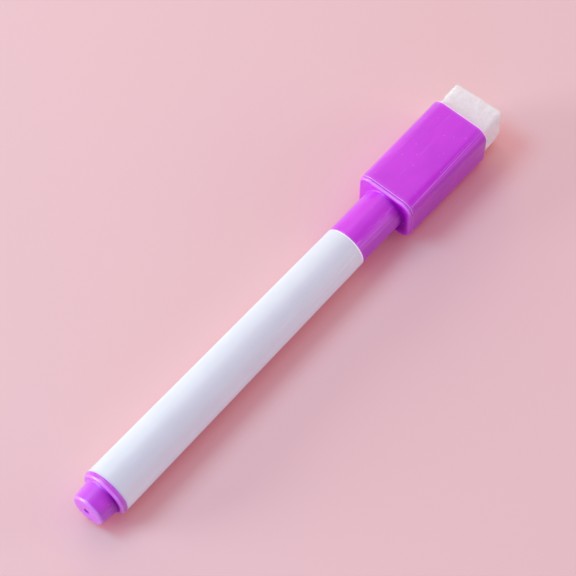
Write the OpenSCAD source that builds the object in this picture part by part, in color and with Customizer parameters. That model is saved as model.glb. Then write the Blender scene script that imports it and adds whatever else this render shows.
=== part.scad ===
// Small round marker with a block cap: a tapered tube with a stepped tail plug, a fibre ink
// reservoir and bullet nib inside, and a cap whose round neck carries a rounded rectangular
// housing with a felt block and a flat magnet.
// The pen's axis is X, tail towards -X, felt towards +X. Z is normal to the housing's wide faces.
// The origin is on the pen's axis, midway between the tail plug's end and the felt's end.

/* [Barrel] */
// Length of the tube
barrel_length = 71.45; // [65:0.05:80]
// Outside diameter at the tail
barrel_tail_diameter = 10.6; // [10.2:0.1:11.6]
// Outside diameter at the front
barrel_front_diameter = 9.6; // [9.5:0.1:10.0]
// Bore diameter at the tail, where the plug is pressed in
barrel_bore_diameter = 8.3; // [8.2:0.05:8.5]
// Radius on the front edge
barrel_edge_radius = 0.3; // [0.1:0.05:0.35]

/* [Tail plug] */
// Thickness of the flange
flange_thickness = 1.3; // [1.0:0.1:2.0]
// Length of the stub beyond the flange
stub_length = 4.5; // [3:0.1:8]
// Stub diameter at the flange
stub_root_diameter = 8.2; // [7.6:0.1:8.6]
// Stub diameter at its end
stub_end_diameter = 7.5; // [7.2:0.1:8.0]
// Vent hole diameter
vent_diameter = 1.4; // [0.8:0.1:2.0]
// Length of the spigot inside the barrel
plug_spigot_length = 8.0; // [5:0.5:12]

/* [Nib and holder] */
// Nib diameter
nib_diameter = 3.0; // [2.0:0.1:3.4]
// Radius of the rounded nib point
nib_point_radius = 0.75; // [0.5:0.05:0.95]
// Diameter of the nose the cap slides on
nose_diameter = 7.7; // [7.5:0.05:7.74]
// Diameter of the nose end the seal closes on
seal_seat_diameter = 6.0; // [5.6:0.1:6.2]

/* [Cap] */
// Outside diameter of the cap's neck
neck_diameter = 9.48; // [9.4:0.01:9.66]
// Bore diameter of the cap's neck
cap_bore_diameter = 7.8; // [7.78:0.01:7.9]
// Length of the neck between the barrel and the block
neck_length = 12.3; // [10:0.1:16]

/* [Block] */
// Length of the block with its end plate
block_length = 25.05; // [22:0.05:34]
// Width of the block across the flats
block_width = 13.9; // [12.6:0.1:18]
// Thickness of the block
block_thickness = 11.75; // [11.7:0.05:13]
// Radius of the block's long edges
block_corner_radius = 2.75; // [2.2:0.05:3.2]
// Wall of the housing
housing_wall = 0.95; // [0.8:0.05:0.97]
// Thickness of the end plate
plate_thickness = 0.75; // [0.7:0.05:1.2]
// Step between the plate's outline and the housing's
plate_step = 0.12; // [0.05:0.01:0.2]
// Radius on the plate's edge facing the barrel
plate_edge_radius = 0.4; // [0.2:0.05:0.5]

/* [Felt and magnet] */
// How far the felt stands out of the housing
felt_projection = 6.6; // [3:0.1:12]
// How deep the felt sits in the housing
felt_depth = 7.3; // [4:0.1:7.3]
// Gap between felt and housing wall
felt_gap = 0.06; // [0.05:0.01:0.3]
// Magnet length
magnet_length = 7.0; // [4:0.1:7.0]
// Magnet width
magnet_width = 9.0; // [5:0.1:9.4]
// Magnet thickness
magnet_thickness = 2.0; // [1.0:0.1:3.0]

/* [Hidden] */
$fn = 96;
overlap = 0.01;      // joins neighbouring shapes and cuts
past = 1;            // how far a cut runs beyond the face it opens
press_gap = 0.02;    // radial clearance of a part that is pressed home
slide_gap = 0.05;    // radial clearance of a part that slides or turns
plastic = [0.72, 0.22, 0.80];

// radii and cross sections
tail_radius = barrel_tail_diameter / 2;
front_radius = barrel_front_diameter / 2;
plug_seat_radius = barrel_bore_diameter / 2;
holder_seat_radius = 3.95;
wrap_radius = 3.74;
core_radius = 3.62;
nib_radius = nib_diameter / 2;
nose_radius = nose_diameter / 2;
lip_radius = seal_seat_diameter / 2;
neck_radius = neck_diameter / 2;
cap_bore_radius = cap_bore_diameter / 2;
cavity_width = block_width - 2 * housing_wall;
cavity_height = block_thickness - 2 * housing_wall;
cavity_corner = 0.8;

// stations along the axis, measured from the barrel's tail edge
at_tail = -(flange_thickness + stub_length);
at_front = barrel_length;
at_mouth = at_front + 0.05;              // cap's open end
at_plate = at_mouth + neck_length;
at_house = at_plate + plate_thickness;
at_rim = at_plate + block_length;
at_felt = at_rim - felt_depth;
at_stop = at_felt - 0.1;                 // felt-side ends of the stops and the magnet
at_end = at_rim + felt_projection;
at_holder = at_front - 11;               // start of the holder's seat in the barrel
at_shoulder = at_mouth + 9;              // nose steps down to the seal's seat
at_cone_end = at_mouth + 15;             // end of the holder
at_nib = at_mouth + 18.7;                // nib's point
at_closed = at_nib + 1.3;                // inner end of the cap's bore
at_tube_end = at_closed + 1.2;           // closed end of the cap's tube
at_core_tail = plug_spigot_length + 0.8;
at_core_front = at_holder - 0.4;
at_nib_hole = at_core_front - 6;         // bottom of the reservoir's hole for the nib
mid = (at_tail + at_end) / 2;

// X coordinate of a station
function x_of(station) = station - mid;

// where a line from a point touches a circle; side (1 or -1) picks one of the two tangents
function tangent_point(centre, radius, from, side) =
  let (
    away = from - centre,
    angle = atan2(away.y, away.x) + side * acos(radius / norm(away))
  )
  centre + radius * [cos(angle), sin(angle)];

// turn a profile drawn as (radius, station) about the pen's axis
module turned() {
  translate([x_of(0), 0, 0]) rotate([0, 90, 0]) rotate_extrude() children();
}

// round bar between two stations, tapered if a second radius is given
module round_bar(from, to, radius, end_radius = undef) {
  translate([x_of(from), 0, 0]) rotate([0, 90, 0])
    cylinder(h = to - from, r1 = radius, r2 = is_undef(end_radius) ? radius : end_radius);
}

// rounded rectangle, its width on the second axis so that it lies along Y once stood up
module rounded_rect(width, height, corner) {
  square([height - 2 * corner, width], center = true);
  square([height, width - 2 * corner], center = true);
  for (i = [-1, 1], j = [-1, 1])
    translate([i * (height / 2 - corner), j * (width / 2 - corner)]) circle(r = corner);
}

// rounded rectangular bar between two stations
module rect_bar(from, to, width, height, corner) {
  translate([x_of(from), 0, 0]) rotate([0, 90, 0])
    linear_extrude(height = to - from) rounded_rect(width, height, corner);
}

module barrel() {
  bevel = 0.12;              // on the tail edge
  seat_end = plug_spigot_length + 0.5;
  centre = [front_radius - barrel_edge_radius, at_front - barrel_edge_radius];
  rib_start = 12;
  rib_end = at_core_front - 2;
  rib_width = 0.6;
  rib_height = 0.42;
  color([0.95, 0.95, 0.97]) union() {
    difference() {
      // the tapering side meets the front rounding on a tangent
      turned() {
        polygon([[0, 0], [tail_radius - bevel, 0], [tail_radius, bevel],
                 tangent_point(centre, barrel_edge_radius, [tail_radius, bevel], 1),
                 centre, [centre.x, at_front], [0, at_front]]);
        translate(centre) circle(r = barrel_edge_radius);
      }
      // plug's seat, the long bore and the holder's seat
      round_bar(-past, seat_end, plug_seat_radius);
      round_bar(seat_end - overlap, at_holder, plug_seat_radius - 0.05,
                holder_seat_radius + 0.05);
      round_bar(at_holder - overlap, at_front + past, holder_seat_radius);
    }
    // six low ribs that centre the reservoir and leave air channels
    for (k = [0:5]) rotate([60 * k, 0, 0])
      translate([x_of(rib_start), -rib_width / 2, wrap_radius + 0.02])
        cube([rib_end - rib_start, rib_width, rib_height]);
  }
}

module tail_plug() {
  flange_edge = 0.6;         // rounding on the flange's tail edge
  stub_edge = 0.45;          // rounding on the stub's end
  end_wall = 1.2;
  flange_radius = tail_radius - 0.02;
  flange_inner = flange_radius - flange_edge;
  flange_round = -flange_thickness + flange_edge;
  stub_end_radius = stub_end_diameter / 2;
  stub_root = [stub_root_diameter / 2, -flange_thickness];
  centre = [stub_end_radius - stub_edge, at_tail + stub_edge];
  color(plastic) difference() {
    turned() {
      // flange, stub and spigot; the stub's side meets its end rounding on a tangent
      polygon([[0, at_tail], [centre.x, at_tail], centre,
               tangent_point(centre, stub_edge, stub_root, -1), stub_root,
               [flange_inner, -flange_thickness], [flange_inner, flange_round],
               [flange_radius, flange_round], [flange_radius, 0],
               [plug_seat_radius - press_gap, 0],
               [plug_seat_radius - press_gap, plug_spigot_length - 0.8],
               [plug_seat_radius - 0.35, plug_spigot_length], [0, plug_spigot_length]]);
      translate(centre) circle(r = stub_edge);
      translate([flange_inner, flange_round]) circle(r = flange_edge);
    }
    // hollow of the stub and spigot, then the vent
    round_bar(at_tail + end_wall, plug_spigot_length + past, stub_end_radius - 1.15,
              stub_end_radius - 0.95);
    round_bar(at_tail - past, at_tail + 2, vent_diameter / 2);
  }
}

module ink_reservoir() {
  color([0.80, 0.62, 0.86]) difference() {
    round_bar(at_core_tail, at_core_front, core_radius);
    round_bar(at_nib_hole, at_core_front + past, nib_radius + press_gap);
  }
}

module reservoir_wrap() {
  color([0.86, 0.88, 0.92]) difference() {
    round_bar(at_core_tail, at_core_front, wrap_radius);
    round_bar(at_core_tail - past, at_core_front + past, core_radius + press_gap);
  }
}

module nib_holder() {
  spigot_radius = holder_seat_radius - press_gap;
  spigot_start = at_holder + 0.1;
  bead_radius = 1.0;
  bead_height = 0.04;        // how far the bead stands out of the nose
  bead_station = at_mouth + 3.4;
  hollow_end = at_mouth + 6;
  hollow_radius = 3.05;
  nib_bore_start = at_mouth + 5;
  channel_width = 0.6;
  color([0.93, 0.93, 0.94]) difference() {
    turned() {
      // spigot in the barrel, then the cap's seat, the seal's seat and the cone
      polygon([[0, spigot_start], [holder_seat_radius - 0.3, spigot_start],
               [spigot_radius, spigot_start + 0.6], [spigot_radius, at_front],
               [nose_radius, at_front], [nose_radius, at_shoulder - 0.4],
               [nose_radius - 0.35, at_shoulder], [lip_radius, at_shoulder],
               [lip_radius, at_shoulder + 3.6], [lip_radius - 0.2, at_shoulder + 3.8],
               [nib_radius + 0.55, at_cone_end], [0, at_cone_end]]);
      // low bead the cap grips on
      translate([nose_radius + bead_height - bead_radius, bead_station])
        circle(r = bead_radius);
    }
    // hollow, its taper down to the nib, then the nib's bore
    round_bar(at_holder - past, hollow_end, 3.15, hollow_radius);
    round_bar(hollow_end - overlap, hollow_end + 1.2, hollow_radius, nib_radius + 0.4);
    round_bar(nib_bore_start, at_cone_end + past, nib_radius + press_gap);
    // air channels beside the nib
    for (k = [0:3]) rotate([90 * k, 0, 0])
      translate([x_of(nib_bore_start), -channel_width / 2, 0])
        cube([at_cone_end + past - nib_bore_start, channel_width, nib_radius + 0.3]);
  }
}

module nib() {
  // the cone leaves the shank at 30 degrees and meets the point's sphere on a tangent
  slope = 30;
  root = at_nib_hole + 0.1;
  sphere_at = at_nib - nib_point_radius;
  touch = [nib_point_radius * cos(slope), sphere_at + nib_point_radius * sin(slope)];
  shank_end = touch.y - (nib_radius - touch.x) / tan(slope);
  color([0.45, 0.16, 0.55]) turned() {
    polygon([[0, root], [0.5, root], [nib_radius, root + 1.7], [nib_radius, shank_end],
             touch, [0, touch.y]]);
    intersection() {
      translate([0, sphere_at]) circle(r = nib_point_radius);
      translate([0, sphere_at]) square([nib_point_radius + past, nib_point_radius + past]);
    }
  }
}

module inner_seal() {
  start = at_shoulder + 0.6;
  seat_radius = lip_radius + slide_gap;
  color([0.90, 0.90, 0.93]) difference() {
    round_bar(start, at_closed - 0.1, cap_bore_radius - slide_gap);
    // flared entry, the seat on the holder and the room for the nib
    round_bar(start - past, start + 0.5, lip_radius + 0.55, seat_radius);
    round_bar(start - past, at_cone_end + 0.1, seat_radius);
    round_bar(at_cone_end, at_nib + 0.5, nib_radius + 0.7, nib_radius + 0.5);
  }
}

module cap_sleeve() {
  width = block_width - 2 * plate_step;
  height = block_thickness - 2 * plate_step;
  corner = block_corner_radius - plate_step;
  mouth_bevel = 0.15;
  end_bevel = 0.4;
  flare = 0.35;              // widening of the bore at the mouth
  color(plastic) difference() {
    union() {
      // neck and tube in one length
      turned() {
        polygon([[0, at_mouth], [neck_radius - mouth_bevel, at_mouth],
                 [neck_radius, at_mouth + mouth_bevel], [neck_radius, at_tube_end - end_bevel],
                 [neck_radius - end_bevel, at_tube_end], [0, at_tube_end]]);
      }
      // end plate: body, then a layer with a rounded edge on its barrel side
      rect_bar(at_plate + plate_edge_radius, at_house, width, height, corner);
      translate([x_of(at_plate), 0, 0]) plate_edge(width, height, corner, plate_edge_radius);
      // step that locates in the housing
      rect_bar(at_house - overlap, at_house + 1.2, cavity_width - 2 * slide_gap,
               cavity_height - 2 * slide_gap, cavity_corner - slide_gap);
    }
    round_bar(at_mouth - past, at_closed, cap_bore_radius);
    round_bar(at_mouth - overlap, at_mouth + flare, cap_bore_radius + flare, cap_bore_radius);
  }
}

// layer of the plate from X = 0 to X = edge, its -X edge rounded all the way round
module plate_edge(width, height, corner, edge) {
  y = width / 2 - corner;
  z = height / 2 - corner;
  translate([0, -y, -z]) cube([edge, 2 * y, 2 * z]);
  for (turn = [0, 180]) rotate([turn, 0, 0]) {
    // straight runs on the Z faces, then on the Y faces
    translate([0, y, z]) rotate([90, 0, 0])
      linear_extrude(height = 2 * y) upright_profile(corner, edge);
    translate([0, y, -z])
      linear_extrude(height = 2 * z) upright_profile(corner, edge);
  }
  // corners: sign of y, sign of z, turn about X
  for (c = [[1, 1, 0], [-1, 1, 90], [-1, -1, 180], [1, -1, 270]])
    translate([0, c[0] * y, c[1] * z]) rotate([c[2], 0, 0])
      corner_turn(corner, edge);
}

// quarter turn of the edge's profile about the X direction, filling +Y +Z
module corner_turn(corner, edge) {
  rotate([90, 0, 90]) rotate_extrude(angle = 90) edge_profile(corner, edge);
}

// profile as (radius, station)
module edge_profile(corner, edge) {
  square([corner - edge, edge]);
  intersection() {
    translate([corner - edge, edge]) circle(r = edge);
    translate([corner - edge, 0]) square([edge, edge]);
  }
}

// the same profile as (station, radius)
module upright_profile(corner, edge) {
  mirror([1, -1, 0]) edge_profile(corner, edge);
}

module eraser_housing() {
  stop_length = 0.9;
  stop_width = 1.2;
  stop_inset = 0.45;         // from the cavity's side to the stop's middle
  color(plastic) union() {
    difference() {
      rect_bar(at_house, at_rim, block_width, block_thickness, block_corner_radius);
      rect_bar(at_house - past, at_rim + past, cavity_width, cavity_height, cavity_corner);
    }
    // felt stops on both side walls
    for (side = [-1, 1])
      translate([x_of(at_stop - stop_length),
                 side * (cavity_width / 2 - stop_inset) - stop_width / 2,
                 -cavity_height / 2 + cavity_corner])
        cube([stop_length, stop_width, cavity_height - 2 * cavity_corner]);
  }
}

// lies just clear of the cavity's lower wall
module magnet() {
  color([0.62, 0.62, 0.66])
    translate([x_of(at_stop - magnet_length), -magnet_width / 2, -cavity_height / 2 + 0.02])
      cube([magnet_length, magnet_width, magnet_thickness]);
}

// a little thinner than the cavity, and lying towards its upper wall
module felt_eraser() {
  lift = 0.2;
  color([0.89, 0.86, 0.86])
    translate([0, 0, lift])
      rect_bar(at_felt, at_end, cavity_width - 2 * felt_gap,
               cavity_height - 2 * felt_gap - 2 * lift, cavity_corner - felt_gap / 2);
}

barrel();
tail_plug();
ink_reservoir();
reservoir_wrap();
nib_holder();
nib();
inner_seal();
cap_sleeve();
eraser_housing();
magnet();
felt_eraser();
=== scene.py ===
"""A capped marker pen with a felt eraser block on its cap, lying on pink paper.

The pen's axis is X: the tail plug is at -X, the nib, cap and felt face +X. Z is up.
Shapes are in millimetres; a station is the distance along +X from the barrel's tail edge.
"""
import math
import random
import bpy
import bmesh
import numpy as np
from mathutils import Matrix, Vector, noise


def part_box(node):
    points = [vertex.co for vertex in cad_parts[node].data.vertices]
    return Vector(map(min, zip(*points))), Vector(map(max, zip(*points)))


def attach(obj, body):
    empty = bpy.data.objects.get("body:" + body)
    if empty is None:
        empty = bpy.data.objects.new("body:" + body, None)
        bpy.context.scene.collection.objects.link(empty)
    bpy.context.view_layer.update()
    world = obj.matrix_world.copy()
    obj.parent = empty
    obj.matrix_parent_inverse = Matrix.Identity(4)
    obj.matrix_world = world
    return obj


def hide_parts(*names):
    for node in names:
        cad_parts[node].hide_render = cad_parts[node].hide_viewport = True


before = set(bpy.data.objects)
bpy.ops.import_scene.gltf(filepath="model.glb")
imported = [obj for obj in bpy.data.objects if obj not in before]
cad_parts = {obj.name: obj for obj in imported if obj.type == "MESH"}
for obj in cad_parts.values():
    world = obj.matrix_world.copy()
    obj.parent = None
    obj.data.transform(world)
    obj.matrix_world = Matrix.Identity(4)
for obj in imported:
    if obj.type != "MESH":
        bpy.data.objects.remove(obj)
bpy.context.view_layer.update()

MM = 0.001
random.seed(11)

# ---------------------------------------------------------------- stations and sizes
barrel_lo, barrel_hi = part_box("barrel")
plug_lo, plug_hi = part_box("tail_plug")
sleeve_lo, sleeve_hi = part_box("cap_sleeve")
housing_lo, housing_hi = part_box("eraser_housing")
felt_lo, felt_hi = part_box("felt_eraser")
nib_lo, nib_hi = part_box("nib")
rod_lo, rod_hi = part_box("ink_reservoir")
TAIL_X = barrel_lo.x


def X(station):
    """World x of a station."""
    return TAIL_X + station * MM


def station_of(corner):
    return (corner.x - TAIL_X) / MM


FRONT = station_of(barrel_hi)           # barrel's front edge
PLUG_TIP = station_of(plug_lo)
SPIGOT_END = station_of(plug_hi)
NIB_BASE = station_of(nib_lo)
NIB_TIP = station_of(nib_hi)
MOUTH = station_of(sleeve_lo)           # cap's open end
SLEEVE_END = station_of(sleeve_hi)
HOUSING = station_of(housing_lo)
RIM = station_of(housing_hi)            # housing's open end
FELT_BASE = station_of(felt_lo)
FELT_TIP = station_of(felt_hi)
PLATE = HOUSING - 0.75                  # the plate between the neck and the housing

TAIL_RADIUS = barrel_hi.z / MM
FRONT_RADIUS = 4.80
FLANGE_RADIUS = TAIL_RADIUS - 0.02      # tail plug's flange
NECK_RADIUS = 4.74                      # outside of the cap's round neck
BLOCK_WIDTH = 2 * housing_hi.y / MM
BLOCK_HEIGHT = 2 * housing_hi.z / MM
BLOCK_CORNER = 2.70
BLOCK_STEPS = (12, 28, 22)              # steps per corner, per side along Y, per side along Z
FELT_STEPS = (6, 44, 34)


# ---------------------------------------------------------------- mesh helpers
def link(name, data):
    obj = bpy.data.objects.new(name, data)
    bpy.context.scene.collection.objects.link(obj)
    return obj


def finish_mesh(bm, name, slot, body, node=None, sharp=32.0, edge=None):
    """Turn bm into an object in the material called slot.

    edge holds one value per vertex: 1 on a glossy rounded corner that also gets a painted
    highlight, more on a thin lip that gets a painted glow as well, -1 deep in an inner corner
    where the material paints its crevice colour. Vertices beyond the list get 0.
    """
    bmesh.ops.recalc_face_normals(bm, faces=bm.faces)
    mesh = bpy.data.meshes.new(name)
    bm.to_mesh(mesh)
    bm.free()
    if edge is not None:
        attribute = mesh.attributes.new("edge", "FLOAT", "POINT")
        padding = [0.0] * (len(mesh.vertices) - len(edge))
        attribute.data.foreach_set("value", edge + padding)
    mesh.shade_smooth()
    mesh.set_sharp_from_angle(angle=math.radians(sharp))
    obj = link(name, mesh)
    mesh.materials.append(MATERIALS[slot])
    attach(obj, body)
    if node:
        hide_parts(node)
    return obj


def loft(name, rings, slot, body, node, sharp=32.0, ends=None, gloss_and_painted_light=None):
    """Quads between rings of equal length, closed by two end points or joined last to first.

    The optional edge values, one per ring, set gloss and a painted highlight and glow above 0,
    and the painted crevice colour below 0.
    """
    bm = bmesh.new()
    rows = [[bm.verts.new(point) for point in ring] for ring in rings]
    count = len(rows[0])
    pairs = list(zip(rows[:-1], rows[1:]))
    if ends is None:
        pairs.append((rows[-1], rows[0]))
    for a, b in pairs:
        for i in range(count):
            j = (i + 1) % count
            bm.faces.new((a[i], a[j], b[j], b[i]))
    if ends is not None:
        start = bm.verts.new(ends[0])
        for i in range(count):
            bm.faces.new((start, rows[0][(i + 1) % count], rows[0][i]))
        end = bm.verts.new(ends[1])
        for i in range(count):
            bm.faces.new((end, rows[-1][i], rows[-1][(i + 1) % count]))
    edge = None
    if gloss_and_painted_light is not None:
        edge = [value for value in gloss_and_painted_light for _ in range(count)]
    return finish_mesh(bm, name, slot, body, node, sharp, edge)


def on_axis(station, z=0.0):
    return Vector((X(station), 0, z * MM))


def ring_point(station, radius, angle):
    return Vector((X(station), radius * MM * math.cos(angle), radius * MM * math.sin(angle)))


def edge_values_of(profile):
    """The optional third value of each profile point."""
    return [point[2] if len(point) > 2 else 0.0 for point in profile]


def lathe(name, profile, slot, body, node, count=160, ends=None):
    """Turn a profile of (station, radius[, edge value]) about the axis; ends are two stations."""
    rings = [[ring_point(point[0], point[1], 2 * math.pi * k / count) for k in range(count)]
             for point in profile]
    if ends is not None:
        ends = [on_axis(station) for station in ends]
    return loft(name, rings, slot, body, node, ends=ends, gloss_and_painted_light=edge_values_of(profile))


def fillet(station, radius, bend, start, stop, steps=7, gloss_and_painted_light=0.0):
    """Arc about (station, radius) as (station, radius, edge value); degrees from +station."""
    points = []
    for k in range(steps + 1):
        angle = math.radians(start + (stop - start) * k / steps)
        points.append((station + bend * math.cos(angle), radius + bend * math.sin(angle),
                       gloss_and_painted_light * math.sin(math.pi * (k + 0.6) / (steps + 1.2))))
    return points


def span(s0, r0, s1, r1, step=2.0):
    """Inner points of a straight run, with a close support point at each end."""
    support = 0.06
    length = math.hypot(s1 - s0, r1 - r0)
    if length <= 3 * support:
        return []
    steps = max(1, int(abs(s1 - s0) / step))
    shares = [support / length] + [k / steps for k in range(1, steps)] + [1 - support / length]
    return [(s0 + (s1 - s0) * u, r0 + (r1 - r0) * u) for u in shares]


def outline(width, height, radius, steps=BLOCK_STEPS):
    """Rounded rectangle as (y, z, normal y, normal z)."""
    corner_steps, y_steps, z_steps = steps
    points = []
    for side_y, side_z, start, along_y in ((1, 1, 0, True), (-1, 1, 90, False),
                                           (-1, -1, 180, True), (1, -1, 270, False)):
        centre_y = side_y * (width / 2 - radius)
        centre_z = side_z * (height / 2 - radius)
        for k in range(corner_steps + 1):
            angle = math.radians(start + 90 * k / corner_steps)
            normal = math.cos(angle), math.sin(angle)
            points.append((centre_y + radius * normal[0], centre_z + radius * normal[1], *normal))
        # straight run to the next corner, points only strictly between
        y0, z0 = points[-1][:2]
        next_y, next_z = (-side_y, side_z) if along_y else (side_y, -side_z)
        y1 = next_y * (width / 2 - radius) + radius * normal[0]
        z1 = next_z * (height / 2 - radius) + radius * normal[1]
        count = y_steps if along_y else z_steps
        for k in range(1, count):
            u = k / count
            points.append((y0 + (y1 - y0) * u, z0 + (z1 - z0) * u, *normal))
    return points


def block_width(station):
    """The block is a little wider at the open end."""
    return BLOCK_WIDTH - 0.15 + 0.27 * (station - PLATE) / (RIM - PLATE)


def block_ring(station, inset, corner, crown=0.0):
    """The block's outline drawn in by inset; crown bows the sides out (negative: in)."""
    width = block_width(station) - 2 * inset
    height = BLOCK_HEIGHT - 2 * inset
    ring = []
    for y, z, _, _ in outline(width, height, corner):
        if crown:
            bow_y = bow_z = 0.0
            if abs(y) > width / 2 - 0.01:
                bow_y = max(0.0, 1 - (abs(z) / (height / 2 - corner)) ** 2)
            if abs(z) > height / 2 - 0.01:
                bow_z = max(0.0, 1 - (abs(y) / (width / 2 - corner)) ** 2)
            y += math.copysign(crown * bow_y, y)
            z += math.copysign(crown * bow_z, z)
        ring.append(Vector((X(station), y * MM, z * MM)))
    return ring


# ---------------------------------------------------------------- materials
MATERIALS = {}


class Shader:
    """Builds one node tree around a Principled BSDF and files it in MATERIALS."""

    def __init__(self, name):
        material = bpy.data.materials.new(name)
        material.use_nodes = True
        self.tree = material.node_tree
        self.tree.nodes.clear()
        self.out = self.node("OutputMaterial")
        self.bsdf = self.node("BsdfPrincipled")
        self.put(self.out.inputs["Surface"], self.bsdf.outputs["BSDF"])
        self.coords = self.node("TexCoord").outputs["Object"]
        MATERIALS[name] = material

    def put(self, socket, value):
        if isinstance(value, bpy.types.NodeSocket):
            self.tree.links.new(value, socket)
        else:
            socket.default_value = value

    def fill(self, node, values):
        for key, value in values.items():
            self.put(node.inputs[key.replace("_", " ")], value)

    def node(self, kind, **inputs):
        node = self.tree.nodes.new("ShaderNode" + kind)
        self.fill(node, inputs)
        return node

    def set(self, **inputs):
        self.fill(self.bsdf, inputs)

    def mapped(self, stretch, turn=(0, 0, 0), shift=(0, 0, 0)):
        return self.node("Mapping", Vector=self.coords, Scale=stretch, Rotation=turn,
                         Location=shift).outputs["Vector"]

    def noise(self, stretch, detail=3.0, rough=0.5, warp=0.0, **mapping):
        """Noise with stretch cells per metre along each axis."""
        return self.node("TexNoise", Vector=self.mapped(stretch, **mapping), Scale=1.0,
                         Detail=detail, Roughness=rough, Distortion=warp).outputs["Fac"]

    def ramp(self, value, over, to=(0.0, 1.0)):
        """Smooth step: value runs over the first pair, the result over the second."""
        node = self.node("MapRange", Value=value, From_Min=over[0], From_Max=over[1],
                         To_Min=to[0], To_Max=to[1])
        node.interpolation_type = "SMOOTHSTEP"
        return node.outputs["Result"]

    def band(self, value, rise, fall):
        """Fades in over rise and out over fall."""
        return self.mul(self.ramp(value, over=rise), self.ramp(value, over=fall[::-1]))

    def math(self, operation, a, b):
        node = self.node("Math")
        node.operation = operation
        self.put(node.inputs[0], a)
        self.put(node.inputs[1], b)
        return node.outputs[0]

    def mul(self, first, *others):
        for other in others:
            first = self.math("MULTIPLY", first, other)
        return first

    def add(self, a, b):
        return self.math("ADD", a, b)

    def sub(self, a, b):
        return self.math("SUBTRACT", a, b)

    def most(self, a, b):
        return self.math("MAXIMUM", a, b)

    def least(self, a, b):
        return self.math("MINIMUM", a, b)

    def mix(self, factor, a, b, blend="MIX"):
        node = self.node("Mix", Factor=factor)
        node.data_type = "RGBA"
        node.blend_type = blend
        for name, value in (("A", a), ("B", b)):
            # inputs of every data type share these names
            self.put(next(s for s in node.inputs if s.name == name and s.type == "RGBA"), value)
        return next(s for s in node.outputs if s.type == "RGBA")

    def bump(self, height, depth, strength, under=None):
        node = self.node("Bump", Height=height, Distance=depth, Strength=strength)
        if under is not None:
            self.put(node.inputs["Normal"], under)
        return node.outputs["Normal"]

    def split(self, vector):
        return self.node("SeparateXYZ", Vector=vector).outputs


def srgb(*channels):
    """sRGB 0-255 to linear, opaque."""
    shares = [channel / 255.0 for channel in channels]
    return (*(c / 12.92 if c <= 0.04045 else ((c + 0.055) / 1.055) ** 2.4 for c in shares), 1.0)


def fine_scratches(sh, amount):
    """Hairline rubs along the pen, and stray scratches at other bearings, both in patches."""
    hair = sh.noise((120, 9000, 9000), detail=2, rough=0.6)
    patch = sh.noise((220, 260, 260), detail=2, shift=(3, 1, 7))
    rubs = sh.mul(sh.ramp(hair, over=(0.62, 0.70)), sh.ramp(patch, over=(0.50, 0.66)))
    cross = sh.noise((5200, 420, 900), detail=1, turn=(0.3, 0.2, 0.6))
    patch = sh.noise((300, 300, 300), detail=1, shift=(9, 4, 2))
    strays = sh.mul(sh.ramp(cross, over=(0.70, 0.74)), sh.ramp(patch, over=(0.58, 0.70)))
    return sh.mul(sh.most(rubs, strays), amount)


def dust_specks(sh, size, cutoff):
    """Small round specks; size is their radius in cells, a lower cutoff gives more of them."""
    cell = sh.node("TexVoronoi", Vector=sh.mapped((700, 700, 700), shift=(2, 5, 1)), Scale=1.0)
    pick = sh.noise((800, 800, 800), detail=0, shift=(1, 8, 3))
    return sh.mul(sh.ramp(cell.outputs["Distance"], over=(size, size * 0.5)),
                  sh.ramp(pick, over=(cutoff, cutoff + 0.04)))


def long_rubs(sh, px, py, pz, start, stop):
    """Long fine rubs on the upper -Y side, between two stations."""
    fine = sh.noise((70, 3600, 3600), detail=2, rough=0.55, shift=(0.7, 0.2, 0.9))
    patch = sh.noise((140, 500, 500), detail=2, shift=(5, 2, 4))
    side = sh.mul(sh.band(py, rise=(-0.0047, -0.0041), fall=(-0.0027, -0.0019)),
                  sh.ramp(pz, over=(0.0008, 0.0018)))
    runs = sh.mul(sh.ramp(fine, over=(0.575, 0.625)), sh.ramp(patch, over=(0.40, 0.55)))
    return sh.mul(runs, side,
                  sh.band(px, rise=(X(start), X(start + 12)), fall=(X(stop), X(stop + 0.3))))


def corner_highlight_lines(sh, px, py, pz):
    """Light and dark masks: a painted highlight line and a painted shadow line along the block's
    upper -Y edge.

    It wanders and breaks a little, and is doubled further on.
    """
    wander = sh.mul(sh.noise((260, 0, 0), detail=2), 0.00014)
    lean = sh.mul(sh.sub(px, X(PLATE)), 0.019)
    line_y = -0.00616
    offset = sh.sub(sh.sub(py, lean), sh.sub(wander, -line_y))
    breaks = sh.ramp(sh.noise((420, 0, 0), detail=2, shift=(3, 0, 0)),
                     over=(0.34, 0.48), to=(0.25, 1))
    line = sh.band(offset, rise=(-0.00010, -0.00004), fall=(0.00004, 0.00010))
    double = sh.mul(sh.band(offset, rise=(0.00026, 0.00031), fall=(0.00035, 0.00040)),
                    sh.ramp(px, over=(X(PLATE + 9), X(PLATE + 13))))
    shadow = sh.mul(sh.band(offset, rise=(0.00009, 0.00014), fall=(0.00018, 0.00024)),
                    sh.ramp(px, over=(X(PLATE + 7), X(PLATE + 11))))
    here = sh.mul(sh.ramp(pz, over=(0.0040, 0.0044)),
                  sh.ramp(px, over=(X(PLATE + 0.9), X(PLATE + 1.4))))
    return sh.mul(sh.most(line, double), breaks, here), sh.mul(shadow, breaks, here)


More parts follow.
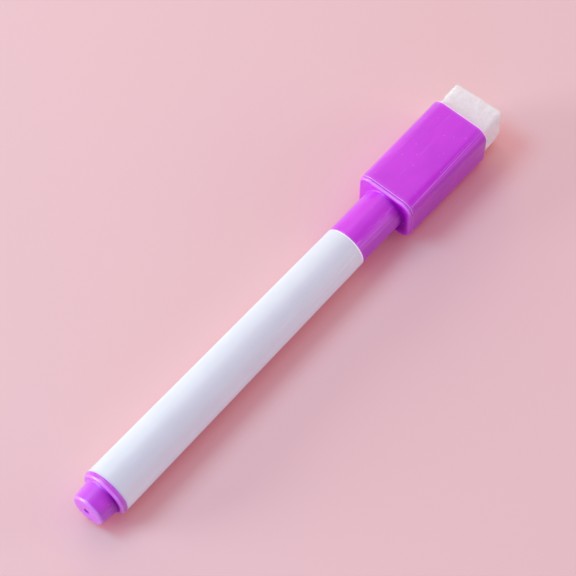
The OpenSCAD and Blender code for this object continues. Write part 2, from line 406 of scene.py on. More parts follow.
def plastic(name, base, deep, light, rough, subsurface, scatter, depth, ior=1.49,
            scuffs=1.0, speck_size=0.10, speck_cutoff=0.62, rub_span=None, rub_light=0.5,
            painted_edge_highlight=0.5, coat=0.0, edge_coat=0.0, painted_crevice_colour=None, painted_crevice_all_round=False,
            painted_lit_haze=None, glow=0.0, glow_colour=(1, 0.9, 1, 1)):
    """Moulded plastic: a slightly cloudy body, faint flow marks, hairline rubs, dust.

    scatter and depth are the subsurface radius and scale. The crevice colour is painted into
    inner
    corners: painted shade on the coloured plastic, a painted lilac reflection on the white. The
    edge highlight lightens rounded corners as a painted highlight, and glow lights thin lips as a
    painted glow. The haze colour is a pale painted highlight on faces turned to the lamps, and
    brings the wear of the coloured parts with it, along with their painted shade and painted
    corner lines.
    """
    sh = Shader(name)
    px, py, pz = sh.split(sh.coords)
    attribute = sh.node("Attribute")
    attribute.attribute_name = "edge"
    raw_edge = attribute.outputs["Fac"]
    edge = sh.least(sh.most(raw_edge, 0.0), 1.0)
    # painted glow: emission on thin lips stands in for light shining through them
    lip = sh.most(sh.sub(raw_edge, 1.0), 0.0)       # thin lips that light shines through
    if painted_lit_haze:
        normal_x, normal_y, normal_z = sh.split(sh.node("NewGeometry").outputs["Normal"])
        # the block's edges catch light only where they face up
        block = sh.ramp(px, over=(X(PLATE - 0.5), X(PLATE - 0.2)))
        down = sh.ramp(normal_z, over=(0.45, -0.15), to=(0, 0.85))
        lit = sh.sub(1.0, sh.mul(block, down))
        edge = sh.mul(edge, lit)
        lip = sh.mul(lip, lit)
        # the block's long upper corner on the -Y side has lost its gloss
        bevel = sh.mul(normal_z, sh.mul(normal_y, -1.0))
        dull = sh.mul(block, sh.ramp(bevel, over=(0.05, 0.42), to=(0, 0.38)))
    # painted crevice colour: painted shade in inner corners of the coloured plastic, kept to the
    # -Y side away from the lamps; on the white, a painted lilac reflection all round
    painted_crevice = sh.most(sh.mul(raw_edge, -1.0), 0.0)
    if not painted_crevice_all_round:                           # only towards -Y
        painted_crevice = sh.mul(painted_crevice, sh.ramp(py, over=(0.0009, -0.0028)))

    # slow drift of the pigment and faint streaks along the flow
    drift = sh.noise((90, 160, 160), rough=0.55)
    colour = sh.mix(sh.ramp(drift, over=(0.35, 0.65)), deep, base)
    flow = sh.noise((60, 900, 900), detail=2)
    colour = sh.mix(sh.ramp(flow, over=(0.62, 0.80), to=(0, 0.25)), colour, light)
    marks = fine_scratches(sh, scuffs)
    dust = dust_specks(sh, speck_size, speck_cutoff)
    colour = sh.mix(sh.mul(marks, 0.22), colour, light)
    if rub_span:
        runs = long_rubs(sh, px, py, pz, *rub_span)
        marks = sh.most(marks, runs)
        colour = sh.mix(sh.mul(runs, rub_light), colour, light)
    if painted_lit_haze:
        # a painted highlight line and a painted shadow line along the block's upper -Y corner
        line, shadow = corner_highlight_lines(sh, px, py, pz)
        colour = sh.mix(sh.mul(line, 0.42), colour, light)
        colour = sh.mix(sh.mul(shadow, 0.50), colour, painted_crevice_colour)
        marks = sh.most(marks, line)
    # painted highlight: rounded corners are lightened towards the light colour
    colour = sh.mix(sh.mul(edge, painted_edge_highlight), colour, light)
    # paint the crevice colour into inner corners
    if painted_crevice_colour:
        colour = sh.mix(sh.mul(painted_crevice, 0.85), colour, painted_crevice_colour)
    colour = sh.mix(sh.mul(dust, 0.30), colour, light)
    if painted_lit_haze:
        # painted shade where it faces -Y, away from the lamps; a painted pale highlight where it
        # faces +Y, towards them
        far = sh.ramp(normal_y, over=(-0.58, -0.98), to=(0, 0.28))
        colour = sh.mix(far, colour, (0, 0, 0, 1))
        near = sh.ramp(normal_y, over=(0.30, 0.90), to=(0, 0.20))
        colour = sh.mix(near, colour, painted_lit_haze)
        # the tail stub is a little chalky all round, with a painted pale highlight added on its
        # end and +Y side, which face the lamps
        turned = sh.ramp(sh.most(normal_y, sh.mul(normal_x, -1.0)),
                         over=(-0.05, 0.5), to=(0.05, 0.27))
        chalk_and_highlight = sh.mul(sh.ramp(px, over=(X(-0.3), X(-1.4))),
                       sh.mul(turned, sh.sub(1.0, painted_crevice)))
        colour = sh.mix(chalk_and_highlight, colour, painted_lit_haze)

    mottle = sh.ramp(sh.noise((350, 350, 350), detail=4, rough=0.6),
                     over=(0.3, 0.7), to=(rough - 0.05, rough + 0.06))
    roughness = sh.sub(sh.add(mottle, sh.mul(marks, 0.22)), sh.mul(edge, 0.10))
    peel = sh.noise((1500, 1500, 1500), detail=2)
    grain = sh.noise((9000, 9000, 9000), detail=2)
    normal = sh.bump(peel, depth=0.00001, strength=0.5)
    normal = sh.bump(grain, depth=0.0000012, strength=0.5, under=normal)
    normal = sh.bump(marks, depth=0.000012, strength=0.8, under=normal)
    normal = sh.bump(dust, depth=0.00002, strength=0.6, under=normal)
    matt = sh.most(painted_crevice, dull) if painted_lit_haze else painted_crevice
    gloss = sh.least(sh.add(sh.mul(edge, edge_coat), coat), 1.0)
    sh.set(Base_Color=colour, Roughness=roughness, IOR=ior, Normal=normal,
           Specular_IOR_Level=sh.sub(0.5, sh.mul(matt, 0.45)),
           Emission_Color=glow_colour, Emission_Strength=sh.mul(lip, glow),
           Subsurface_Weight=subsurface, Subsurface_Radius=scatter, Subsurface_Scale=depth,
           Coat_IOR=1.6, Coat_Roughness=0.40,
           Coat_Weight=sh.mul(gloss, sh.sub(1.0, sh.mul(matt, 0.95))))


def felt_material():
    """Matted fibres: two stretched noises crossing, with clumps, layers and grain."""
    sh = Shader("felt")
    along = sh.noise((900, 3600, 3600), rough=0.65, warp=0.6, turn=(0.2, 0.1, 0.35))
    across = sh.noise((3400, 1000, 3000), rough=0.65, warp=0.8, turn=(0.1, 0.3, -0.5))
    clumps = sh.noise((420, 520, 520), rough=0.6)
    layers = sh.noise((140, 900, 2400), detail=2)
    fibres = sh.most(sh.ramp(along, over=(0.35, 0.7)), sh.ramp(across, over=(0.38, 0.72)))
    colour = sh.mix(sh.ramp(clumps, over=(0.3, 0.7)), srgb(251, 233, 235), srgb(255, 246, 246))
    colour = sh.mix(sh.mul(fibres, 0.55), colour, srgb(253, 249, 247))
    colour = sh.mix(sh.ramp(layers, over=(0.60, 0.75), to=(0, 0.25)), colour,
                    srgb(231, 219, 220))
    grain = sh.noise((2300, 2300, 2300), rough=0.7, warp=0.4, shift=(1, 3, 2))
    colour = sh.mix(sh.ramp(grain, over=(0.46, 0.28), to=(0, 0.45)), colour,
                    srgb(216, 204, 205))
    colour = sh.mix(sh.ramp(grain, over=(0.56, 0.72), to=(0, 0.75)), colour,
                    srgb(255, 252, 251))
    height = sh.add(sh.mul(fibres, 0.7), sh.add(sh.mul(clumps, 0.5), sh.mul(grain, 0.9)))
    # a little translucent, with a faint painted glow
    sh.set(Base_Color=colour, Roughness=0.95, Specular_IOR_Level=0.15,
           Normal=sh.bump(height, depth=0.00007, strength=0.7),
           Sheen_Weight=0.5, Sheen_Roughness=0.5,
           Subsurface_Weight=0.7, Subsurface_Radius=(1.2, 0.9, 0.9), Subsurface_Scale=0.0020,
           Emission_Color=(1.0, 0.45, 0.35, 1), Emission_Strength=0.06)


def fibre_material(name, base, tip):
    """Fibres bundled along the pen."""
    sh = Shader(name)
    strands = sh.noise((500, 5200, 5200), rough=0.6)
    patches = sh.noise((150, 150, 150), detail=2)
    colour = sh.mix(sh.ramp(strands, over=(0.35, 0.68)), base, tip)
    colour = sh.mix(sh.ramp(patches, over=(0.4, 0.7), to=(0, 0.35)), colour, base)
    sh.set(Base_Color=colour, Roughness=0.8, Sheen_Weight=0.15,
           Normal=sh.bump(strands, depth=0.00008, strength=0.9))


def film_material():
    sh = Shader("film")
    creases = sh.noise((120, 700, 700), rough=0.6)
    sh.set(Base_Color=sh.mix(creases, srgb(214, 220, 232), srgb(236, 240, 248)), IOR=1.45,
           Roughness=sh.ramp(creases, over=(0.3, 0.7), to=(0.12, 0.25)),
           Normal=sh.bump(creases, depth=0.00005, strength=0.5))


def magnet_material():
    sh = Shader("magnet_plating")
    brushing = sh.noise((400, 4000, 400), rough=0.6)
    clouds = sh.noise((300, 300, 300), detail=4, rough=0.6)
    sh.set(Base_Color=sh.mix(clouds, (0.42, 0.42, 0.45, 1), (0.62, 0.62, 0.66, 1)),
           Metallic=0.95, Roughness=sh.ramp(brushing, over=(0.3, 0.7), to=(0.25, 0.42)),
           Normal=sh.bump(brushing, depth=0.00001, strength=0.6))


def floor_material():
    """Pink paper with painted shade, deeper pink where the pen shuts out light, clear to the
    camera from below.
    """
    sh = Shader("floor_paper")
    paper = sh.mix(sh.noise((6, 6, 6), detail=2), srgb(248, 202, 202), srgb(251, 205, 205))
    # painted shade: the paper is multiplied to a deeper pink where ambient occlusion finds the
    # pen close by
    occlusion = sh.node("AmbientOcclusion", Distance=0.03)
    occlusion.samples = 8
    painted_contact_shade = sh.ramp(sh.sub(1.0, occlusion.outputs["AO"]), over=(0.28, 0.62))
    sh.set(Base_Color=sh.mix(painted_contact_shade, paper, (1.0, 0.68, 0.71, 1), blend="MULTIPLY"),
           Roughness=0.85, Specular_IOR_Level=0.2)
    below = sh.mul(sh.node("NewGeometry").outputs["Backfacing"],
                   sh.node("LightPath").outputs["Is Camera Ray"])
    blend = sh.node("MixShader")
    sh.put(blend.inputs[0], below)
    sh.put(blend.inputs[1], sh.bsdf.outputs["BSDF"])
    sh.put(blend.inputs[2], sh.node("BsdfTransparent").outputs["BSDF"])
    sh.put(sh.out.inputs["Surface"], blend.outputs[0])


# coloured plastic: painted shade in its crevices, a painted haze highlight on lit faces, painted
# highlights and glow on its edges
plastic("coloured_plastic", base=srgb(220, 36, 231), deep=srgb(209, 26, 224),
        light=srgb(244, 156, 253), rough=0.33, subsurface=0.12, scatter=(1.0, 0.2, 1.0),
        depth=0.0009, ior=1.52, speck_size=0.15, speck_cutoff=0.50,
        rub_span=(62, PLATE - 0.4), rub_light=0.52, painted_edge_highlight=0.55, coat=0.6, edge_coat=0.4,
        painted_crevice_colour=srgb(150, 0, 165), painted_lit_haze=srgb(222, 150, 255),
        glow=0.60, glow_colour=(1.0, 0.80, 1.0, 1))
# white plastic: a painted lilac reflection in its crevices, a painted highlight and glow on its
# lip
plastic("white_plastic", base=srgb(235, 234, 240), deep=srgb(232, 231, 238),
        light=srgb(250, 248, 255), rough=0.36, subsurface=0.12, scatter=(1, 1, 1),
        depth=0.0010, scuffs=0.9, rub_span=(36, FRONT - 1.5), painted_edge_highlight=1.0, edge_coat=1.0,
        painted_crevice_colour=srgb(228, 204, 247), painted_crevice_all_round=True,
        glow=0.25, glow_colour=(1.0, 0.72, 1.0, 1))
plastic("holder_plastic", base=srgb(236, 236, 238), deep=srgb(230, 230, 233),
        light=srgb(248, 248, 250), rough=0.42, subsurface=0.2, scatter=(1, 1, 1),
        depth=0.001, scuffs=0.8)
plastic("seal_plastic", base=srgb(228, 228, 234), deep=srgb(220, 220, 228),
        light=srgb(244, 244, 248), rough=0.48, subsurface=0.4, scatter=(1, 1, 1),
        depth=0.0015, scuffs=0.5)
felt_material()
fibre_material("nib_fibre", base=srgb(106, 34, 132), tip=srgb(150, 66, 176))
fibre_material("inked_fibre", base=srgb(150, 78, 178), tip=srgb(196, 130, 214))
film_material()
magnet_material()


# ---------------------------------------------------------------- pen
# Profile tables hold (station, radius[, edge value]); an edge value above 0 gives gloss and a
# painted highlight, above 1 a painted glow too, and below 0 the painted crevice colour.
def build_barrel():
    # tail edge, its corner tinted with a painted lilac reflection of the purple flange
    profile = [(s, r, -0.8) for s, r, _ in fillet(0.20, TAIL_RADIUS - 0.20, 0.20, 180, 90)]
    profile += [(0.30, TAIL_RADIUS, -0.6), (0.45, TAIL_RADIUS, -0.3), (0.62, TAIL_RADIUS)]
    profile += span(0.62, TAIL_RADIUS, FRONT - 0.5, FRONT_RADIUS, step=1.6)
    # front lip, with a painted highlight and a painted glow along it
    profile += [(FRONT - 0.42, FRONT_RADIUS), (FRONT - 0.36, FRONT_RADIUS, 0.5),
                (FRONT - 0.31, FRONT_RADIUS + 0.005, 1.4),
                (FRONT - 0.25, FRONT_RADIUS + 0.010, 2.0)]
    lip = fillet(FRONT - 0.22, FRONT_RADIUS - 0.21, 0.22, 90, 0, steps=8)
    profile += [(s, r, 2.0 - 0.1 * k) for k, (s, r, _) in enumerate(lip)]
    # bore
    profile += [(FRONT, 4.30), (FRONT, 3.99), (FRONT - 0.04, 3.95), (FRONT - 1, 3.95),
                (FRONT - 11, 3.95), (FRONT - 11.2, 4.0), (30, 4.06), (8.6, 4.10), (8.5, 4.15),
                (0.1, 4.15), (0.0, 4.25), (0.0, 4.7)]
    lathe("barrel_tube", profile, "white_plastic", "pen", "barrel")


def build_tail_plug():
    flange = -1.3               # station of the flange's tail face
    root, tip = 4.10, 3.75      # stub radius at the flange and at its end
    # blind hole's mouth and end face
    profile = [(PLUG_TIP + 1.2, 0.70), (PLUG_TIP + 0.16, 0.70), (PLUG_TIP + 0.06, 0.74),
               (PLUG_TIP + 0.02, 0.84), (PLUG_TIP + 0.01, 1.4), (PLUG_TIP + 0.01, 2.2),
               (PLUG_TIP + 0.03, 2.7)]
    # rounded rim of the end face, with a painted highlight
    profile += fillet(PLUG_TIP + 0.72, tip - 0.68, 0.70, 172, 94.5, steps=10, gloss_and_painted_light=1.0)
    # painted shade deepens along the stub towards the flange on the -Y side, deepest in the root
    # fillet and on the flange's face
    side = span(PLUG_TIP + 0.68, tip + 0.02, flange - 0.22, root - 0.02, step=0.5)
    profile += [(s, r, -max(0.0, 1 - (flange - s) / 2.4) ** 1.4) for s, r in side]
    profile += [(s, r, -1.0)
                for s, r, _ in fillet(flange - 0.25, root + 0.23, 0.25, 270, 360, steps=5)]
    profile += [(flange, root + 0.32, -0.9), (flange, FLANGE_RADIUS - 0.78, -0.2)]
    # flange's rounded rim and outer band, with a painted highlight
    profile += fillet(flange + 0.72, FLANGE_RADIUS - 0.72, 0.72, 180, 92, steps=11, gloss_and_painted_light=0.9)
    profile += [(-0.50, FLANGE_RADIUS, 0.45), (-0.20, FLANGE_RADIUS, 0.45),
                (-0.10, FLANGE_RADIUS - 0.02, 0.3), (-0.05, FLANGE_RADIUS - 0.06),
                (-0.03, FLANGE_RADIUS - 0.12), (-0.02, FLANGE_RADIUS - 0.3)]
    # spigot inside the barrel, and its hollow
    profile += [(-0.01, 4.4), (0.05, 4.13), (1.0, 4.13), (SPIGOT_END - 0.8, 4.13),
                (SPIGOT_END - 0.05, 3.83), (SPIGOT_END, 3.75), (SPIGOT_END, 2.85),
                (SPIGOT_END - 0.05, 2.80), (0, 2.7), (PLUG_TIP + 1.5, 2.6),
                (PLUG_TIP + 1.2, 2.4), (PLUG_TIP + 1.2, 0.9)]
    lathe("tail_plug_moulding", profile, "coloured_plastic", "pen", "tail_plug")


def build_nib_holder():
    outer, spout = 3.85, 3.0    # radii behind and ahead of the shoulder
    profile = [(FRONT - 10.9, 3.65), (FRONT - 10.85, 3.75), (FRONT - 10.4, 3.92),
               (FRONT - 10, 3.93), (FRONT - 0.2, 3.93), (FRONT - 0.01, 3.93),
               (FRONT + 0.01, outer), (FRONT + 0.2, outer)]
    profile += span(FRONT + 0.3, outer, MOUTH + 3.0, outer, step=1.0)
    # low rounded ridge
    profile += [(MOUTH + 3.15, 3.855), (MOUTH + 3.25, 3.875), (MOUTH + 3.4, 3.888),
                (MOUTH + 3.55, 3.875), (MOUTH + 3.65, 3.855)]
    profile += span(MOUTH + 3.8, outer, MOUTH + 8.6, outer, step=1.0)
    # shoulder
    profile += [(MOUTH + 8.6, outer), (MOUTH + 8.75, 3.80), (MOUTH + 8.9, 3.68),
                (MOUTH + 8.97, 3.50), (MOUTH + 9, 3.3), (MOUTH + 9, 3.12),
                (MOUTH + 9.04, 3.03), (MOUTH + 9.15, spout)]
    profile += span(MOUTH + 9.2, spout, MOUTH + 12.5, spout, step=1.0)
    profile += [(MOUTH + 12.62, 2.98), (MOUTH + 12.8, 2.86)]
    profile += span(MOUTH + 12.8, 2.86, MOUTH + 14.9, 2.12, step=0.8)
    # front lip and bore
    profile += [(MOUTH + 14.97, 2.04), (MOUTH + 15, 1.92), (MOUTH + 15, 1.60),
                (MOUTH + 14.96, 1.54), (MOUTH + 14.8, 1.52), (MOUTH + 7.2, 1.52),
                (MOUTH + 7.1, 1.9), (MOUTH + 6, 3.05), (FRONT - 10.7, 3.15),
                (FRONT - 10.88, 3.25)]
    lathe("nib_holder_moulding", profile, "holder_plastic", "pen", "nib_holder")


def build_nib():
    radius, tip_radius, taper = 1.5, 0.75, math.radians(30)
    tip_centre = NIB_TIP - tip_radius
    cone_end = tip_centre + tip_radius * 0.5, tip_radius * math.cos(taper)
    cone = cone_end[0] - (radius - cone_end[1]) / math.tan(taper)   # where the cone starts
    profile = [(NIB_BASE, 0.5), (NIB_BASE + 0.05, 0.58), (NIB_BASE + 1.6, 1.46),
               (NIB_BASE + 1.75, radius)]
    profile += span(NIB_BASE + 1.8, radius, cone - 0.1, radius)
    profile += [(cone - 0.1, radius), (cone + 0.02, 1.475)]
    profile += span(cone + 0.05, 1.455, *cone_end, step=0.3)
    for degrees in (30, 42, 54, 66, 78, 86):
        angle = math.radians(degrees)
        profile.append((tip_centre + tip_radius * math.sin(angle), tip_radius * math.cos(angle)))
    lathe("bullet_nib", profile, "nib_fibre", "pen", "nib", count=96, ends=(NIB_BASE, NIB_TIP))


def build_inner_seal():
    base, top, radius = MOUTH + 9.6, NIB_TIP + 1.2, 3.85
    hollow = NIB_TIP + 0.5      # closed end of the hollow
    profile = [(hollow, 1.9), (NIB_TIP + 0.4, 2.0), (MOUTH + 15.2, 2.2), (MOUTH + 15.1, 2.3),
               (MOUTH + 15.1, 2.95), (MOUTH + 15.0, 3.05), (base + 0.5, 3.05),
               (base + 0.06, 3.10), (base, 3.25), (base, 3.6), (base + 0.08, 3.80),
               (base + 0.25, radius)]
    profile += span(base + 0.3, radius, top - 0.2, radius)
    profile += [(top - 0.12, radius), (top - 0.03, 3.80), (top, 3.7)]
    lathe("cap_inner_seal", profile, "seal_plastic", "seal", "inner_seal", count=128,
          ends=(hollow, top))


def build_reservoir_rod():
    """A bundled fibre rod, slightly fluted, with a socket in its +X end."""
    base, top, count = station_of(rod_lo), station_of(rod_hi), 144
    socket_floor = top - 5.9
    rings = []
    for station in np.linspace(base, top, 60):
        ring = []
        for k in range(count):
            angle = 2 * math.pi * k / count
            spot = Vector((station * 0.25, 6 * math.cos(angle), 6 * math.sin(angle)))
            dents = 0.05 * abs(noise.noise(spot * 1.3))
            flutes = 0.03 * abs(math.sin(angle * 24))
            ring.append(ring_point(station, 3.60 - dents - flutes, angle))
        rings.append(ring)
    rings.append([Vector((X(top), p.y * 0.45, p.z * 0.45)) for p in rings[-1]])
    rings.append([Vector((X(socket_floor), p.y, p.z)) for p in rings[-1]])
    loft("reservoir_fibre_rod", rings, "inked_fibre", "pen", "ink_reservoir", sharp=60,
         ends=(on_axis(base), on_axis(socket_floor)))


# ---------------------------------------------------------------- cap
def build_sleeve():
    """Round neck, rectangular plate and the round tube that reaches into the housing."""
    bearings = [math.atan2(z, y)
                for y, z, _, _ in outline(block_width(PLATE), BLOCK_HEIGHT, BLOCK_CORNER)]

    def round_ring(station, radius):
        """Circle whose points lie at the block outline's bearings."""
        return [ring_point(station, radius, bearing) for bearing in bearings]

    bore_end, bore = NIB_TIP + 1.3, 3.90
    step = 0.12                 # plate set in from the block's outline
    edge = 0.50                 # radius of the plate's edge on the neck side
    root = 0.22                 # fillet between neck and plate

    # (station, radius[, edge value]): out along the bore, round the mouth, back along the neck
    neck = [(bore_end, 2.0), (bore_end, 3.6), (bore_end - 0.1, 3.84), (bore_end - 0.3, bore)]
    neck += reversed(span(MOUTH + 0.4, bore, bore_end - 0.4, bore))
    neck += [(MOUTH + 0.36, bore), (MOUTH + 0.30, 3.93), (MOUTH + 0.03, 4.22), (MOUTH, 4.30),
             (MOUTH, 4.55)]
    # rounded mouth edge with a painted highlight
    neck += fillet(MOUTH + 0.2, NECK_RADIUS - 0.2, 0.2, 180, 90, steps=6, gloss_and_painted_light=0.5)
    # painted shade deepens along the neck towards the plate on the -Y side, deepest in the root
    # fillet
    neck += [(s, r, -0.8 * max(0.0, 1 - (PLATE - s) / 1.6) ** 2)
             for s, r in span(MOUTH + 0.2, NECK_RADIUS, PLATE - root, NECK_RADIUS, step=0.5)]
    neck += [(s, r, -1.0)
             for s, r, _ in fillet(PLATE - root, NECK_RADIUS + root, root, 270, 360, steps=6)]

    # the plate's face eases from the round root to the rounded rectangle; near the neck it gets
    # painted shade on the -Y side
    inner = round_ring(PLATE, NECK_RADIUS + 0.26)
    outer = block_ring(PLATE, step + edge + 0.03, BLOCK_CORNER - step - edge)
    face = [[a.lerp(b, u) for a, b in zip(inner, outer)] for u in (0, 0.25, 0.5, 0.75, 1)]
    face_painted_shade = [-1.0, -1.0, -0.9, -0.55, 0.0]

    # (station, inset[, edge value]): plate's rim with a painted highlight, and the groove behind
    # it
    plate = []
    for k in range(9):
        angle = math.radians(90 * k / 8)
        plate.append((PLATE + edge - edge * math.cos(angle), step + edge - edge * math.sin(angle),
                      math.sin(math.pi * (k + 1.5) / 11)))
    plate += [(PLATE + 0.58, step, 0.4), (PLATE + 0.66, step + 0.01, 0.3),
              (PLATE + 0.70, step + 0.035, 0.3), (PLATE + 0.73, step + 0.08, 0.2),
              (PLATE + 0.745, step + 0.14), (PLATE + 0.745, 0.9), (HOUSING + 0.02, 1.02),
              (HOUSING + 1.1, 1.02), (HOUSING + 1.18, 1.10)]

    # (station, radius): tube inside the housing
    tube = [(HOUSING + 1.2, NECK_RADIUS), (HOUSING + 1.25, NECK_RADIUS),
            (HOUSING + 1.5, NECK_RADIUS), (SLEEVE_END - 0.5, NECK_RADIUS),
            (SLEEVE_END - 0.4, NECK_RADIUS - 0.02), (SLEEVE_END - 0.06, 4.47),
            (SLEEVE_END, 4.35), (SLEEVE_END, 2.5)]

    rings = [round_ring(*point[:2]) for point in neck] + face
    rings += [block_ring(*point[:2], max(0.3, BLOCK_CORNER - point[1])) for point in plate]
    rings += [round_ring(*point) for point in tube]
    gloss_and_painted_light = edge_values_of(neck) + face_painted_shade + edge_values_of(plate) + edge_values_of(tube)
    loft("cap_sleeve_moulding", rings, "coloured_plastic", "cap", "cap_sleeve", sharp=30,
         ends=(on_axis(bore_end), on_axis(SLEEVE_END)), gloss_and_painted_light=gloss_and_painted_light)


def build_housing():
    wall = 0.93
    cavity_corner = 0.85

    def housing_ring(station, inset, gloss_and_painted_light=0.0, crown=0.0):
        """The corner goes from the block's to the cavity's as the inset grows."""
        u = min(1.0, max(0.0, (inset - 0.2) / (wall - 0.2)))
        corner = (BLOCK_CORNER - inset) * (1 - u) + cavity_corner * u
        return block_ring(station, inset, corner, crown)

    # (station, inset[, edge value[, crown]])
    profile = [(HOUSING, 0.45), (HOUSING, 0.22), (HOUSING + 0.005, 0.17)]
    # painted highlight, with a faint painted glow, on the rounded edge next to the plate
    for k in range(7):          # rounded edge next to the plate
        angle = math.radians(90 * k / 6)
        profile.append((HOUSING + 0.01 + 0.15 - 0.15 * math.cos(angle),
                        0.15 - 0.15 * math.sin(angle), 1.25 * math.sin(math.pi * (k + 1) / 8.5)))
    profile.append((HOUSING + 0.25, 0.0, 0.2))
    for station in np.linspace(HOUSING + 0.9, RIM - 0.9, 24):   # slightly hollow sides
        u = (station - HOUSING) / (RIM - HOUSING)
        profile.append((station, 0.0, 0.0, -0.035 * math.sin(math.pi * u) ** 0.6))
    # the open end's outer edge gets a painted highlight and a painted glow
    profile += [(RIM - 0.30, 0.0, 0.3), (RIM - 0.24, 0.0, 1.0)]
    for k, gloss_and_painted_light in enumerate((1.35, 1.9, 2.2, 1.9, 1.3, 0.8, 0.4)):   # rim's outer edge
        angle = math.radians(90 * k / 6)
        profile.append((RIM - 0.20 + 0.20 * math.sin(angle), 0.20 - 0.20 * math.cos(angle),
                        gloss_and_painted_light))
    profile += [(RIM, 0.40, 0.3), (RIM, wall - 0.20, 0.3)]
    for k in range(5):          # rim's inner edge
        angle = math.radians(90 * k / 4)
        profile.append((RIM - 0.12 + 0.12 * math.cos(angle),
                        wall - 0.12 + 0.12 * math.sin(angle)))
    profile += [(station, wall) for station in (RIM - 0.4, RIM - 3, RIM - 7, FELT_BASE - 1,
                                                HOUSING + 2, HOUSING + 0.1)]
    profile.append((HOUSING, wall - 0.06))
    loft("eraser_housing_shell", [housing_ring(*point) for point in profile],
         "coloured_plastic", "cap", "eraser_housing", sharp=30, gloss_and_painted_light=edge_values_of(profile))


# ---------------------------------------------------------------- felt eraser
FELT_WIDTH = 2 * felt_hi.y / MM - 0.03
FELT_HEIGHT = (felt_hi.z - felt_lo.z) / MM - 0.03
FELT_Z = (felt_hi.z + felt_lo.z) / 2 / MM
FELT_CORNER = 0.75
FELT_EDGE = 0.45                # radius of the end's edge
# unevenness as (height in mm, noise cells per mm, shift along the pen)
FELT_LUMPS = ((0.10, 0.45, 0), (0.06, 1.7, 4), (0.055, 3.6, 0), (0.03, 8.0, 0))


def felt_end(y):
    """The cut end is not quite square: the -Y side stands a little further out."""
    return FELT_TIP + 0.06 - 0.22 * (y / (FELT_WIDTH / 2))


def felt_vertex(station, y, z, normal, lumpy, lean=1.0, nick=0.0, wear=1.0):
    """A surface point, displaced; lean is towards +Y and wear lifts the lower side."""
    spot = Vector((station, y, z))
    lump = sum(height * noise.noise(spot * cells + Vector((shift, 0, 0)))
               for height, cells, shift in FELT_LUMPS)
    point = spot + Vector(normal) * (lump * lumpy)
    point.y += 0.20 * lean
    point.y -= nick
    if z < 0:
        point.z += 0.75 * wear * min(1.0, (-z) / (FELT_HEIGHT / 2))
    return Vector((X(point.x), point.y * MM, (point.z + FELT_Z) * MM))


def felt_side_ring(station):
    exposed = station > RIM
    growth = min(1.0, (station - RIM) / 1.2) if exposed else 0.0
    ring = []
    for y, z, normal_y, normal_z in outline(FELT_WIDTH - 0.08 * (1 - growth),
                                            FELT_HEIGHT - 0.06 * (1 - growth),
                                            FELT_CORNER, FELT_STEPS):
        normal = (0, normal_y, normal_z)
        if not exposed:
            ring.append(felt_vertex(station, y, z, normal, lumpy=0.25, lean=0.0, wear=0.0))
            continue
        # stations beyond the rim are stretched to follow the skewed cut
        share = (station - RIM) / (FELT_TIP - 0.72 - RIM)
        along = RIM + (felt_end(y) - 0.5 - RIM) * share
        # small nick near the rim on the +Y side
        nick = 0.28 * math.exp(-((along - (RIM + 1.7)) / 0.5) ** 2) * max(0, normal_y)
        ring.append(felt_vertex(along, y, z, normal, lumpy=1.0,
                                lean=min(1.0, (along - RIM) / 4.5), nick=nick,
                                wear=max(0.0, (along - (FELT_TIP - 2.4)) / 2.4) ** 2))
    return ring


def build_felt():
    base = FELT_BASE + 0.05
    stations = [base, *np.linspace(FELT_BASE + 0.4, RIM - 0.1, 16),
                *np.arange(RIM + 0.15, FELT_TIP - 0.72, 0.24)]
    rings = [felt_side_ring(station) for station in stations]
    for k in range(1, 5):       # rounded end edge
        angle = math.radians(90 * k / 4)
        cos, sin = math.cos(angle), math.sin(angle)
        inset = FELT_EDGE * (1 - cos)
        edge = outline(FELT_WIDTH - 2 * inset, FELT_HEIGHT - 2 * inset,
                       max(0.25, FELT_CORNER - inset), FELT_STEPS)
        rings.append([felt_vertex(felt_end(y) - 0.5 + FELT_EDGE * sin, y, z,
                                  (sin, normal_y * cos, normal_z * cos), lumpy=1.2)
                      for y, z, normal_y, normal_z in edge])
    face = outline(FELT_WIDTH - 2 * FELT_EDGE, FELT_HEIGHT - 2 * FELT_EDGE, 0.3, FELT_STEPS)
    for u in (0.9, 0.8, 0.7, 0.6, 0.5, 0.4, 0.3, 0.2, 0.1):     # end face, shrinking
        rings.append([felt_vertex(felt_end(y * u) - 0.05, y * u, z * u, (1, 0, 0),
                                  lumpy=1.3, lean=u)
                      for y, z, _, _ in face])
    return loft("felt_pad", rings, "felt", "cap", "felt_eraser", sharp=60,
                ends=(on_axis(base), on_axis(felt_end(0) - 0.05, FELT_Z)))


